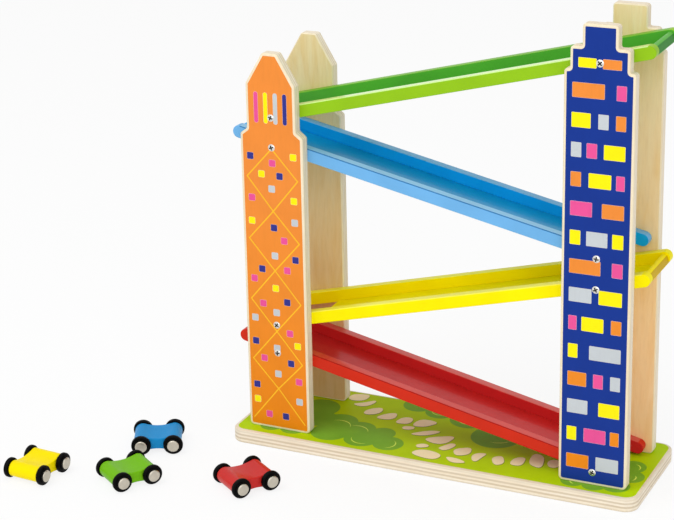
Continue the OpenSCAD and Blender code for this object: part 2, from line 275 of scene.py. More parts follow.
# the veneers lie across one axis, between two distances in metres
towerPly = {
    "across": "Y", "mirrored": True, "from": 0.034, "to": 0.044, "grain": (70, 260, 7), "fine": (600, 600, 50),
    "plies": [birch["face"], "e6d9bf", birch["cream"], "e2d4b9", birch["cream"], "e6d9bf", birch["face"]],
    "streak": "e0c89c",
}
boardPly = {
    "across": "Z", "mirrored": False, "from": 0.0, "to": 0.012, "grain": (7, 70, 260), "fine": (50, 600, 600),
    "plies": ["e6dac4", birch["cream"], birch["beige"], birch["cream"], birch["beige"], birch["cream"], "ece1cc"],
    "streak": "e2d2b2",
}


def depthThrough(tree, look):
    # 0 at one side of the sheet and 1 at the other, a little uneven
    wander = plyFinish["wander"]
    depth = position(tree, look["across"])
    if look["mirrored"]:
        depth = maths(tree, "ABSOLUTE", depth)
    uneven = maths(tree, "MULTIPLY", noise(tree, *plyFinish["wanderNoise"]), wander)
    limits = {"From Min": look["from"] + wander / 2, "From Max": look["to"] + wander / 2}
    return mapRange(tree, maths(tree, "ADD", depth, uneven), limits)


def plyMaterial(name, look):
    # plywood: bands of veneer through the thickness, and grain along the sheet
    finish = plyFinish
    material, tree, surface = newMaterial(name, Roughness=finish["rough"], Coat_Weight=finish["coat"],
                                          Coat_Roughness=finish["coatRough"])
    ramp = addNode(tree, "ValToRGB")
    stops = ramp.color_ramp.elements
    tones = look["plies"]
    edge = finish["glueLine"]
    for k, tone in enumerate(tones):
        for at in (k / len(tones) + edge, (k + 1) / len(tones) - edge):
            stops.new(at).color = colour(tone)
    stops.remove(stops[0])
    stops[0].color = colour(tones[0])
    stops[len(stops) - 1].color = colour(tones[-1])
    tree.links.new(depthThrough(tree, look), ramp.inputs[0])
    streaks = noise(tree, look["grain"], *finish["grainDetail"])
    fine = noise(tree, look["fine"], *finish["poreDetail"])
    coarse = blendOver(tree, streaks, colour(look["streak"]), white, finish["streakSpread"])
    pores = blendOver(tree, fine, colour(birch["pore"]), white, finish["poreSpread"])
    body = multiply(tree, ramp.outputs["Color"], coarse, finish["streakAmount"])
    body = multiply(tree, body, pores, finish["poreAmount"])
    finishSurface(tree, surface, body, fine, finish["roughRange"], fine, finish["relief"])
    return material


# the plain inner faces of the towers; their tone changes between two heights in metres, and this change and the
# difference between the left and right towers are painted shade and light that stand for how the panels are lit
faceFinish = {
    "rough": 0.6, "roughRange": (0.52, 0.68), "shine": 0.2, "relief": (0.0001, 0.4), "heights": (0.03, 0.34),
    "grain": ((90, 260, 12), 5.0, 0.6, 0.8), "streakSpread": (0.30, 0.62), "fine": ((500, 500, 60), 3.0, 0.6),
    "poreTone": (0.90, 0.88, 0.84, 1), "poreSpread": (0.30, 0.55), "poreAmount": 0.5,
}
faceToneAndShadeLooks = {
    "left": {"low": "dfbc8a", "high": "eedcac", "streak": "f8ecd4"},
    "right": {"low": "fcd8a8", "high": "f6e0b2", "streak": "faf0dc"},
}


def woodFace(name, look):
    # plain sanded veneer with a faint fine grain along its height, and a painted shade that changes its tone with
    # height
    finish = faceFinish
    material, tree, surface = newMaterial(name, Roughness=finish["rough"], Specular_IOR_Level=finish["shine"])
    streaks, fine = noise(tree, *finish["grain"]), noise(tree, *finish["fine"])
    height = heightShare(tree, *finish["heights"])
    # painted shade: the tone goes from the low colour at the foot to the high one at the top
    body = blendOver(tree, height, colour(look["low"]), colour(look["high"]), (0.0, 1.0))
    coarse = blendOver(tree, streaks, colour(look["streak"]), white, finish["streakSpread"])
    pores = blendOver(tree, fine, finish["poreTone"], white, finish["poreSpread"])
    body = multiply(tree, multiply(tree, body, coarse), pores, finish["poreAmount"])
    finishSurface(tree, surface, body, fine, finish["roughRange"], fine, finish["relief"])
    return material


printFinish = {
    "rough": 0.46, "roughRange": (0.42, 0.52), "shine": 0.12, "gardenShine": 0.03, "relief": (0.00008, 0.3),
    "cloud": ((38, 38, 38), 3.0), "cloudSpread": (0.36, 0.64), "thinInk": 0.955,
    "grain": ((420, 420, 60), 3.0, 0.6), "grainTone": (0.95, 0.95, 0.95, 1), "grainSpread": (0.3, 0.5),
    "grainAmount": 0.6, "shadedFootHeights": (0.02, 0.24), "orangeShadedFoot": "ee8a10",
}
inkCodes = {
    "orange": "f08e3a", "navy": "12358f", "indigo": "35368c", "yellow": "fbee06", "pink": "ea5498", "grey": "c6ccd0",
    "line": "ffc62a", "edging": "e6dccb", "lawn": "b4d604", "bush": "78ae2e", "blade": "d8f058",
    "stone": "fdf0c4", "stoneEdge": "7c8c24",
}
# the garden's inks drift towards these lighter ones
gardenInks = {"lawn": "b8d80c", "bush": "80b434", "blade": "def468", "stone": "faeabc", "stoneEdge": "84942c"}


def inkMaterial(name, code, pale=None, shine=printFinish["shine"], shadedFootCode=None):
    # screen-printed ink under a satin lacquer: a little uneven, with the wood's grain just showing
    finish = printFinish
    material, tree, surface = newMaterial(name, Roughness=finish["rough"], Specular_IOR_Level=shine)
    cloud, grain = noise(tree, *finish["cloud"]), noise(tree, *finish["grain"])
    thin = finish["thinInk"]
    body = blendOver(tree, cloud, scaled(code, thin), colour(pale or code), finish["cloudSpread"])
    # painted shade: the orange print darkens towards its foot
    if shadedFootCode:  # the print deepens towards its foot
        low = blendOver(tree, cloud, scaled(shadedFootCode, thin), colour(shadedFootCode), finish["cloudSpread"])
        mix = addNode(tree, "Mix", data_type="RGBA")
        tree.links.new(heightShare(tree, *finish["shadedFootHeights"]), mix.inputs["Factor"])
        tree.links.new(low, mix.inputs[6])
        tree.links.new(body, mix.inputs[7])
        body = mix.outputs[2]
    woodShowing = blendOver(tree, grain, finish["grainTone"], white, finish["grainSpread"])
    body = multiply(tree, body, woodShowing, finish["grainAmount"])
    finishSurface(tree, surface, body, cloud, finish["roughRange"], grain, finish["relief"])
    return material


paintFinish = {
    "rough": 0.30, "roughRange": (0.29, 0.39), "coatRough": 0.09, "shine": 0.05, "shinePerCoat": 0.5,
    "cloud": ((26, 26, 26), 2.0), "cloudSpread": (0.35, 0.65), "tones": (0.95, 1.03),
    "grain": ((30, 500, 500), 3.0, 0.6), "ripple": ((240, 240, 240), 2.0), "relief": (0.00006, 0.5),
}
# colour and gloss of the paint on each of a ramp's faces, and on the car. Car is the car's own paint and Outside the
# ramp paint as it looks lit, the blue one paled by a painted reflection; Inside, Floor and End are darker copies for
# painted shade in the channel and on the stop's outer side; Top and FarTop are painted reflections on the rails'
# tops; Edge is a painted shade line along the front rail's outer top edge for red and blue, and a painted highlight
# there for yellow and green
paintLooks = {
    "red": {
        "Outside": ("d22f1a", 0.04), "Inside": ("cc2628", 0.03), "Edge": ("a81c14", 0.0), "Top": ("cc3832", 0.32),
        "FarTop": ("d4504c", 0.3), "Floor": ("c02426", 0.2), "End": ("8e1a18", 0.0), "Car": ("ca2a26", 0.12),
    },
    "yellow": {
        "Outside": ("fcee02", 0.0), "Inside": ("ffe800", 0.0), "Edge": ("fff452", 0.1), "Top": ("fff03c", 0.1),
        "FarTop": ("fff23c", 0.05), "Floor": ("ffea00", 0.1), "End": ("d0ac00", 0.0), "Car": ("fde602", 0.0),
    },
    "blue": {
        "Outside": ("70b2e6", 0.08), "Inside": ("0ca4ee", 0.06), "Edge": ("2f78b4", 0.1), "Top": ("8cc4ee", 0.15),
        "FarTop": ("70b2e6", 0.1), "Floor": ("0894d2", 0.26), "End": ("0a78b4", 0.0), "Car": ("1c8ccc", 0.02),
    },
    "green": {
        "Outside": ("92c41a", 0.05), "Inside": ("58b23a", 0.05), "Edge": ("ccf08c", 0.4), "Top": ("c4ee7a", 0.8),
        "FarTop": ("74b42c", 0.02), "Floor": ("58b23a", 0.2), "End": ("34862e", 0.0), "Car": ("74bc14", 0.02),
    },
}


def paintMaterial(name, code, coat):
    # sprayed gloss paint on wood: faint ripple of the grain beneath and a clear gloss
    finish = paintFinish
    shine = finish["shine"] + coat * finish["shinePerCoat"]
    material, tree, surface = newMaterial(name, Roughness=finish["rough"], Specular_IOR_Level=shine,
                                          Coat_Weight=coat, Coat_Roughness=finish["coatRough"])
    cloud, grain, ripple = (noise(tree, *finish[key]) for key in ("cloud", "grain", "ripple"))
    low, high = finish["tones"]
    body = blendOver(tree, cloud, scaled(code, low), scaled(code, high), finish["cloudSpread"])
    height = maths(tree, "ADD", grain, ripple)
    finishSurface(tree, surface, body, ripple, finish["roughRange"], height, finish["relief"])
    return material


steel = {
    "metal": 1.0, "shine": 0.5, "cloud": ((160, 160, 160), 3.0), "grain": ((1500, 1500, 1500), 2.0),
    "gloss": "cloud", "relief": (0.00003, 0.4), "tones": (0.86, 1.0), "roughRange": (-0.06, 0.08),
}
black = {
    "metal": 0.0, "shine": 0.07, "cloud": ((90, 90, 90), 2.0), "grain": ((900, 900, 900), 3.0),
    "gloss": "grain", "tones": (0.8, 1.25), "roughRange": (-0.08, 0.08),
}
hardLooks = {
    "screwSteel": dict(steel, tone="e6e4de", rough=0.26),
    "discSteel": dict(steel, tone="c8c1b2", rough=0.34),
    "tyreRubber": dict(black, tone="030303", rough=0.5, relief=(0.00008, 0.5)),
    "hubPlastic": dict(black, tone="050505", rough=0.42, relief=(0.00004, 0.5), grain=((500, 500, 500), 3.0)),
    # the dark tone in a screw's cross is a painted shade
    "screwCrossShade": dict(black, tone="3c3834", rough=0.5, relief=(0.00003, 0.5)),
}


def hardMaterial(name, look):
    # zinc plating, rubber, moulded plastic, or the painted shade in a screw's cross
    material, tree, surface = newMaterial(name, Metallic=look["metal"], Roughness=look["rough"],
                                          Specular_IOR_Level=look["shine"])
    noises = {key: noise(tree, *look[key]) for key in ("cloud", "grain")}
    low, high = look["tones"]
    body = blendOver(tree, noises["cloud"], scaled(look["tone"], low), scaled(look["tone"], high))
    roughRange = [look["rough"] + change for change in look["roughRange"]]
    finishSurface(tree, surface, body, noises[look["gloss"]], roughRange, noises["grain"], look["relief"])
    return material


plywood = {"tower": plyMaterial("towerPlywood", towerPly), "board": plyMaterial("boardPlywood", boardPly)}
plainFaces = {side: woodFace(side + "TowerFace", look) for side, look in faceToneAndShadeLooks.items()}
inks = {name: inkMaterial(name + "Ink", code) for name, code in inkCodes.items() if name not in gardenInks}
inks["orange"] = inkMaterial("orangeShadedFootInk", inkCodes["orange"], shadedFootCode=printFinish["orangeShadedFoot"])
for name, pale in gardenInks.items():
    inks[name] = inkMaterial(name + "Ink", inkCodes[name], pale, printFinish["gardenShine"])
paints = {}
for name, look in paintLooks.items():
    paints[name] = {where: paintMaterial(f"{name}Paint{where}", code, gloss) for where, (code, gloss) in look.items()}
hard = {name: hardMaterial(name, look) for name, look in hardLooks.items()}
print("materials made:", len(bpy.data.materials))


# shared shape tools

# the bevel angle is in radians, the other two in degrees and the weld distance in metres
meshLimits = {"weld": 0.000002, "flatAngle": 1, "sharpAngle": 32, "bevelAngle": 0.5}


def link(name, shape, materials, node, sharpAngle=meshLimits["sharpAngle"]):
    # turns a bmesh into a finished piece that stands for its CAD node
    bmesh.ops.recalc_face_normals(shape, faces=shape.faces)
    mesh = bpy.data.meshes.new(name)
    shape.to_mesh(mesh)
    shape.free()
    for material in materials:
        mesh.materials.append(material)
    mesh.shade_smooth()
    mesh.set_sharp_from_angle(angle=math.radians(sharpAngle))
    piece = bpy.data.objects.new(name, mesh)
    scene.collection.objects.link(piece)
    weighted = piece.modifiers.new("evenNormals", "WEIGHTED_NORMAL")
    weighted.keep_sharp = True
    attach(piece, bodyOf[node])
    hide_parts(node)


def pieceName(node):
    words = node.split("_")
    return words[0] + "".join(word.capitalize() for word in words[1:])


def copyShape(node):
    # the CAD node's own shape, welded and with its flat faces whole again
    shape = bmesh.new()
    shape.from_mesh(frame["nodes"][node].data)
    flat = math.radians(meshLimits["flatAngle"])
    bmesh.ops.remove_doubles(shape, verts=shape.verts, dist=meshLimits["weld"])
    bmesh.ops.dissolve_limit(shape, angle_limit=flat, verts=shape.verts, edges=shape.edges)
    return shape


def roundEdges(shape, chosen, width, segments=3):
    # bevels the sharp edges whose both ends are chosen
    sharp = [edge for edge in shape.edges
             if len(edge.link_faces) == 2 and edge.calc_face_angle() > meshLimits["bevelAngle"]
             and all(chosen(v.co) for v in edge.verts)]
    bmesh.ops.bevel(shape, geom=sharp, offset=width, offset_type="OFFSET", segments=segments,
                    profile=0.5, affect="EDGES", clamp_overlap=False)


def roundCorners(corners, steps=7):
    # an outline of (x, y, radius) corners, counter-clockwise, with each corner an arc
    points = []
    for k, (x, y, radius) in enumerate(corners):
        at = Vector((x, y))
        before = (Vector(corners[k - 1][:2]) - at).normalized()
        after = (Vector(corners[(k + 1) % len(corners)][:2]) - at).normalized()
        half = math.acos(max(-1, min(1, before.dot(after)))) / 2
        centre = at + (before + after).normalized() * (radius / math.sin(half))
        first = at + before * (radius / math.tan(half)) - centre
        last = at + after * (radius / math.tan(half)) - centre
        start = math.atan2(first.y, first.x)
        swing = (math.atan2(last.y, last.x) - start + math.pi) % (2 * math.pi) - math.pi
        for step in range(steps + 1):
            angle = start + swing * step / steps
            points.append(centre + Vector((math.cos(angle), math.sin(angle))) * radius)
    return points


def inset(points, by):
    # the outline moved inwards, or outwards where by is below 0
    moved = []
    for k, point in enumerate(points):
        before = (point - points[k - 1]).normalized()
        after = (points[(k + 1) % len(points)] - point).normalized()
        inward = Vector((-before.y, before.x))
        mitre = (inward + Vector((-after.y, after.x))).normalized()
        moved.append(point + mitre * (by / mitre.dot(inward)))
    return moved


def rectangle(left, right, bottom, top, radius, steps):
    corners = [(left, bottom, radius), (right, bottom, radius), (right, top, radius), (left, top, radius)]
    return roundCorners(corners, steps)


def circle(x, y, radius, count):
    turns = [2 * math.pi * k / count for k in range(count)]
    return [Vector((x + radius * math.cos(turn), y + radius * math.sin(turn))) for turn in turns]


def joinRings(shape, first, second):
    # a band of faces between two rings; a ring of one repeated point makes triangles
    faces = []
    for k in range(len(first)):
        nextK = (k + 1) % len(first)
        corners = list(dict.fromkeys([first[k], first[nextK], second[nextK], second[k]]))
        if len(corners) > 2:
            faces.append(shape.faces.new(corners))
    return faces


def fillFace(shape, ring, outline, regions, place):
    # fills a flat face with printed regions, each a (material number, outline); later ones lie on top.
    # A region with None for its number stays open, and the points of its rim are returned
    points, faces, owners = list(outline), [list(range(len(outline)))], [0]
    for owner, region in regions:
        faces.append(list(range(len(points), len(points) + len(region))))
        points += region
        owners.append(owner)
    # 1 leaves out what lies outside, and points within the small distance in millimetres become one
    spots, _, pieces, fromPoints, _, fromFaces = delaunay_2d_cdt(points, [], faces, 1, 0.00001, True)
    made = []
    for spot, sources in zip(spots, fromPoints):
        onRing = [k for k in sources if k < len(outline)]
        made.append(ring[onRing[0]] if onRing else shape.verts.new(place(spot)))
    for corners, sources in zip(pieces, fromFaces):
        owner = owners[max(sources)] if sources else None
        if owner is not None:
            face = shape.faces.new([made[k] for k in corners])
            face.material_index = owner
    pointOf = {source: made[spot] for spot, sources in enumerate(fromPoints) for source in sources}
    return [[pointOf[k] for k in face] for face, owner in zip(faces, owners) if owner is None]


def slab(outline, thickness, edge, place, frontRegions, backRegions, steps=3):
    # a flat piece with rounded edges; place(point, depth) puts it in the toy, with depth from its printed face
    shape = bmesh.new()
    turns = [math.pi / 2 * k / steps for k in range(steps + 1)]
    profile = [(edge * (1 - math.sin(a)), edge * (1 - math.cos(a))) for a in turns]
    profile += [(edge * (1 - math.cos(a)), thickness - edge * (1 - math.sin(a))) for a in turns]
    rings, outlines = [], []
    for by, depth in profile:
        outlines.append(inset(outline, by) if by > 0 else list(outline))
        rings.append([shape.verts.new(place(point, depth)) for point in outlines[-1]])
    for first, second in zip(rings, rings[1:]):
        joinRings(shape, first, second)
    fillFace(shape, rings[0], outlines[0], frontRegions, lambda point: place(point, 0))
    rims = fillFace(shape, rings[-1], outlines[-1], backRegions, lambda point: place(point, thickness))
    return shape, rims


# towers

# in millimetres: the towers' middles, their printed faces and the board's top
towerX = 147.5
towerFace = 44
boardTop = 12
panel = {
    "thickness": 10, "edge": 1.1, "printMargin": 2.3, "plainMargin": 0.01,
    "windowEdging": 0.12, "squareEdging": 0.13,
}
# half of each outline from the bottom up: distance from the middle, height and corner radius
pointedCorners = [(30, 0, 4), (30, 276.54, 3), (23.5, 281.54, 1.5), (23.5, 322.04, 3), (7, 350.04, 3)]
steppedCorners = [(30, 0, 4), (30, 362, 3), (25, 362, 1.5), (25, 381, 3), (15, 381, 1.5), (15, 400, 3)]
panelMaterials = ["wood", "orange", "navy", "yellow", "pink", "grey", "line", "edging", "indigo", "plain"]

# windows of the stepped print, from the top row down: colour, left and right edge from the middle
windowRows = {
    "top": 364, "drop": 25, "height": 12.3, "topHeight": 8, "corner": 0.5,
    "rows": [
        [("yellow", -18, -3), ("orange", 2.5, 18)],
        [("orange", -22.7, 4.3), ("pink", 14.4, 22.5)],
        [("yellow", -23, -7), ("grey", -0.4, 8), ("orange", 14.3, 22.5)],
        [("grey", -23, -14.5), ("pink", -9.8, -1.2), ("yellow", 4.7, 22.5)],
        [("orange", -23, -14.3), ("yellow", -7.7, 11.2), ("pink", 15.5, 22.5)],
        [("pink", -23, -4.5), ("orange", 4, 22.5)],
        [("yellow", -23, -14), ("grey", -8.8, 9), ("yellow", 13.2, 22.5)],
        [("orange", -23, 3.6), ("pink", 13.5, 22.5)],
        [("grey", -23, -3.6), ("yellow", 2.7, 22.5)],
        [("pink", -23, -16), ("yellow", -11.7, 7.2), ("orange", 13.8, 22.5)],
        [("yellow", -23, -14.8), ("grey", -4.5, 22.5)],
        [("orange", -23, -6.8), ("pink", -0.6, 7.7), ("grey", 14.2, 22.5)],
        [("grey", -23, -5.3), ("yellow", 4.4, 22.5)],
        [("yellow", -23, -14.7), ("pink", -8, 11), ("orange", 15, 22.5)],
        [("orange", -23, -3.6), ("grey", 3, 22.5)],
    ],
}
lattice = {
    "width": 1.0,
    "zigzag": [
        (0, 265), (24.5, 238), (0, 208), (-24.5, 180.5), (0, 152.5), (24.5, 123.5), (0, 95), (-24.5, 66),
        (0, 39.7), (25.5, 8),
    ],
    "square": 6.2, "corner": 0.9,
    "squares": {
        "indigo": [
            (-20.9, 256.8), (7.1, 240.8), (0.2, 192.7), (20.4, 165.1), (-12.7, 152.9), (11.1, 124.1),
            (-21.3, 83.2), (13.2, 65.9), (-21.5, 41), (6.5, 13.4),
        ],
        "yellow": [
            (20.7, 259.4), (-10.5, 241.3), (20.4, 219.5), (-21.2, 197.2), (0.1, 136), (20.2, 83.6), (-21.4, 26.7),
        ],
        "pink": [
            (0.3, 252), (-20.5, 218.7), (9.8, 181.6), (12, 154.2), (-20.7, 143.1), (-12.7, 120.3), (12.9, 94.7),
            (-13.3, 67.7), (20.6, 49.2), (-10, 13.5),
        ],
        "grey": [
            (-0.9, 228.4), (20.6, 199.7), (0.3, 166.6), (0.3, 113), (-21.2, 105.7), (-0.3, 78.8), (0.1, 54.1),
            (20.6, 29.9),
        ],
    },
    "bars": [("pink", -13.9), ("yellow", -4.7), ("grey", 4.7), ("indigo", 13.7)],
    "barWidth": 3.9, "barBottom": 287.5, "barTop": 315.2, "barRound": 0.98,
}


def bothHalves(half):
    return half + [(-x, z, radius) for x, z, radius in reversed(half)]


def strip(a, b, width, past=0.3):
    # a straight line of ink from a to b and a little past them
    a, b = Vector(a), Vector(b)
    along = (b - a).normalized()
    side = Vector((-along.y, along.x)) * width / 2
    a, b = a - along * past, b + along * past
    return [a - side, b - side, b + side, a + side]


def edged(ink, outline, by):
    # a printed shape with a hairline of the pale underprint round it
    return [(panelMaterials.index("edging"), inset(outline, -by)), (panelMaterials.index(ink), outline)]


def windowPrint(outline):
    regions = [(panelMaterials.index("navy"), inset(outline, panel["printMargin"]))]
    for number, row in enumerate(windowRows["rows"]):
        bottom = windowRows["top"] - windowRows["drop"] * number
        height = windowRows["topHeight"] if number == 0 else windowRows["height"]
        for ink, left, right in row:
            window = rectangle(left, right, bottom, bottom + height, windowRows["corner"], 2)
            regions += edged(ink, window, panel["windowEdging"])
    return regions


def latticePrint(outline):
    regions = [(panelMaterials.index("orange"), inset(outline, panel["printMargin"]))]
    for flip in (1, -1):
        turns = [(flip * x, z) for x, z in lattice["zigzag"]]
        for a, b in zip(turns, turns[1:]):
            regions.append((panelMaterials.index("line"), strip(a, b, lattice["width"])))
    half = lattice["square"] / 2
    for ink, places in lattice["squares"].items():
        for x, z in places:
            square = rectangle(x - half, x + half, z - half, z + half, lattice["corner"], 3)
            regions += edged(ink, square, panel["squareEdging"])
    half = lattice["barWidth"] / 2
    for ink, x in lattice["bars"]:
        bar = rectangle(x - half, x + half, lattice["barBottom"], lattice["barTop"], half * lattice["barRound"], 6)
        regions += edged(ink, bar, panel["squareEdging"])
    return regions


def makeTower(side, face):
    left = side == "left"
    outward = -1 if face == "front" else 1  # the printed face looks outward
    flip = -outward  # so that the print reads the same from behind
    outline = roundCorners(bothHalves(pointedCorners if left else steppedCorners))
    middle = -towerX if left else towerX

    def place(point, depth):
        return Vector((middle + flip * point[0], outward * (towerFace - depth), boardTop + point[1])) * mm

    regions = latticePrint(outline) if left else windowPrint(outline)
    plain = [(panelMaterials.index("plain"), inset(outline, panel["edge"] + panel["plainMargin"]))]
    shape, _ = slab(outline, panel["thickness"], panel["edge"], place, regions, plain)
    node = f"tower_{side}_{face}"
    materials = [plywood["tower"]] + [inks[name] for name in panelMaterials[1:-1]] + [plainFaces[side]]
    link(pieceName(node), shape, materials, node)


for side in ("left", "right"):
    for face in ("front", "rear"):
        makeTower(side, face)
print("towers made")


# base board and its printed garden

board = {
    "length": 380, "width": 120, "corner": 12, "cornerSteps": 10, "edge": 1.2,
    "holeGap": 36, "holeY": 39, "holeMouth": 3.4, "holeSink": 0.6, "holeNarrow": 1.85, "holeCorners": 32,
}
# the margins are at the sides, the front and the back
garden = {
    "margins": (2.8, 4.2, 2.2), "bushCorners": 48, "bladeWidth": 1.0, "bladeTip": 0.4,
    "stoneSeed": 7, "stoneWaves": (3, 4), "stoneSwell": (0.02, 0.05), "shadeShift": (0.7, -0.9), "shadeGrowth": 0.15,
}
gardenMaterials = ["wood", "lawn", "bush", "blade", "stone", "stoneEdge"]
# bushes are groups of round lobes: x, y and radius
bushes = [
    (-134, 13, 18.5), (-123, -9, 16), (-104, -9, 17), (-103, -32, 17.5), (-81, -16, 15), (-71, -34, 16.2),
    (-58, -17, 12), (-45, -34.5, 14), (-158, -39, 10.5), (-137, -37, 12.3),
    (-51.5, 53, 14.8), (-27, 46, 14.4), (4, 40.5, 18.8), (39, 14.5, 22.8),
    (130, -41.5, 10.8), (149, -43, 10.5), (167, -38, 12), (169, 3, 12), (173, -16, 12),
]
# light blades of grass on the bushes: x, y, radius, first and last angle
blades = [
    (-103, -18, 12.6, 10, 128), (-83.5, -23, 12.7, 16, 122), (-69.5, -33, 11, 188, 305), (-47.5, -35, 9.4, -70, 55),
    (135, -40, 8, 198, 250), (168.5, 1.5, 7.5, -26, 80), (170, -18, 8, -40, 40),
    (4, 42, 12, 215, 320), (40, 18, 15, -100, -20), (-27, 48, 9, 200, 300),
]
# stepping stones: x, y, half length, half width, turn in degrees and how far they bend
stones = [
    (-110.5, 48, 9.8, 7.6, 35, 0), (-99.5, 37.5, 10.6, 4.1, 42, 0.45), (-85.3, 24.5, 9.7, 6, 55, 0.1),
    (-68.6, 19, 9.6, 6, 48, 0.15), (-50.2, 16, 8.2, 6.3, 60, 0), (-31.2, 17, 10.4, 7.2, 38, -0.2),
    (-41.3, 2.8, 5.7, 3.7, 18, 0), (-22.4, -1.2, 12.6, 4.2, 34, 0.12), (-5.5, -9, 12.6, 7.4, 32, 0.2),
    (-15.2, -27, 5.6, 3.9, 25, 0), (6.2, -20.6, 8.8, 4.4, 62, 0.1), (-5, -41.6, 13.2, 7.8, -5, 0),
    (22.2, -24.5, 9, 7, 62, 0), (39, -29.3, 9.2, 4.6, 80, -0.3), (57.4, -29.5, 8.8, 5.4, 108, 0),
    (74.1, -24.8, 9, 5.8, 85, 0), (88.8, -17, 13.5, 6.4, 108, 0), (104.4, -17.2, 7.8, 5.7, 100, 0),
    (22.5, -43.3, 9, 4.1, -12, 0.1),
]


def blade(x, y, radius, start, end, steps=14):
    # a thin curved sliver, widest in its middle
    tip = garden["bladeTip"]
    outer, inner = [], []
    for k in range(steps + 1):
        angle = math.radians(start + (end - start) * k / steps)
        swell = garden["bladeWidth"] * math.sin(math.pi * (k + tip) / (steps + 2 * tip)) / 2
        way = Vector((math.cos(angle), math.sin(angle)))
        outer.append(Vector((x, y)) + way * (radius + swell))
        inner.append(Vector((x, y)) + way * (radius - swell))
    return outer + inner[::-1]


def stone(x, y, halfLength, halfWidth, turn, bend, chance, count=30):
    # an oval pebble with a few soft bulges, bent sideways at its ends
    waves = [(number, chance.uniform(*garden["stoneSwell"]), chance.uniform(0, 2 * math.pi))
             for number in garden["stoneWaves"]]
    cos, sin = math.cos(math.radians(turn)), math.sin(math.radians(turn))
    points = []
    for k in range(count):
        a = 2 * math.pi * k / count
        swell = 1 + sum(size * math.sin(number * a + phase) for number, size, phase in waves)
        u, v = halfLength * swell * math.cos(a), halfWidth * swell * math.sin(a)
        v += bend * halfWidth * (2 * math.cos(a) ** 2 - 1)
        points.append(Vector((x + u * cos - v * sin, y + u * sin + v * cos)))
    return points


def gardenPrint():
    length, width = board["length"] / 2, board["width"] / 2
    side, front, back = garden["margins"]
    left, right, near, far = side - length, length - side, front - width, width - back
    lawn = rectangle(left, right, near, far, board["corner"] - side, board["cornerSteps"])
    regions = [("lawn", lawn)]

    def onLawn(point):  # the bushes are cut off at the lawn's edge
        return Vector((max(left, min(right, point.x)), max(near, min(far, point.y))))

    for x, y, radius in bushes:
        regions.append(("bush", [onLawn(point) for point in circle(x, y, radius, garden["bushCorners"])]))
    for arch in blades:
        regions.append(("blade", blade(*arch)))
    chance = random.Random(garden["stoneSeed"])
    shift = Vector(garden["shadeShift"])
    for oval in stones:
        pebble = stone(*oval, chance)
        regions.append(("stoneEdge", [point + shift for point in inset(pebble, -garden["shadeGrowth"])]))
        regions.append(("stone", pebble))
    return [(gardenMaterials.index(ink), region) for ink, region in regions]


def sinkHoles(shape, holes, rims):
    # countersinks of the base screws in the underside
    mouth, narrow, sink = board["holeMouth"], board["holeNarrow"], board["holeSink"]
    for (x, y), previous in zip(holes, rims):
        for radius, z in ((mouth, sink), (narrow, sink + mouth - narrow)):
            corners = circle(x, y, radius, board["holeCorners"])
            ring = [shape.verts.new(Vector((p.x, p.y, z)) * mm) for p in corners]
            joinRings(shape, previous, ring)
            previous = ring
        shape.faces.new(previous)


def makeBoard():
    length, width = board["length"] / 2, board["width"] / 2
    outline = rectangle(-length, length, -width, width, board["corner"], board["cornerSteps"])
    halfGap, holeY = board["holeGap"] / 2, board["holeY"]
    holes = [(middle + shift, y) for middle in (-towerX, towerX) for shift in (-halfGap, halfGap)
             for y in (-holeY, holeY)]
    mouths = [(None, circle(x, y, board["holeMouth"], board["holeCorners"])) for x, y in holes]

    def place(point, depth):
        return Vector((point[0], point[1], boardTop - depth)) * mm

    shape, rims = slab(outline, boardTop, board["edge"], place, gardenPrint(), mouths)
    sinkHoles(shape, holes, rims)
    materials = [plywood["board"]] + [inks[name] for name in gardenMaterials[1:]]
    link("baseBoard", shape, materials, "base_board")


makeBoard()
print("board made")


# ramps

# sizes are in millimetres; from insideNormal on, the paints go by how far a face's normal looks in, out or up
rail = {
    "radius": 5.65, "inner": 25.2, "outer": 34, "edge": 0.7, "flushWithin": 0.02, "rimWithin": 0.08,
    "insideDepth": 0.8, "insideNormal": 0.8, "farTopNormal": 0.3, "topNormal": 0.9,
    "edgeOutward": (0.2, 0.97), "edgeUp": 0.1,
}
railPaints = ["Outside", "Inside", "Edge", "Top", "FarTop"]
rampFloor = {"edge": 0.5}
# the stop's End paint is a painted shade on its outer side
stopBar = {"edge": 0.5, "lip": 3.8, "darkLean": 0.45}  # the outer side is dark where it leans less than this
rampHighSide = {"red": -1, "yellow": 1, "blue": -1, "green": 1}


def rampLine(name):
    # the two ends of a ramp's centre line, in metres
    low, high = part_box(f"{name}_ramp_front_rail")
    radius = rail["radius"] * mm
    xs = (low.x + radius, high.x - radius)
    if rampHighSide[name] < 0:
        xs = xs[::-1]
    return Vector((xs[0], 0, low.z + radius)), Vector((xs[1], 0, high.z - radius))


def lineShare(point, ends):
    along = ends[1] - ends[0]
    return (Vector((point.x, 0, point.z)) - ends[0]).dot(along) / along.length_squared


def offLine(point, ends):
    share = max(0, min(1, lineShare(point, ends)))
    return (Vector((point.x, 0, point.z)) - ends[0].lerp(ends[1], share)).length / mm


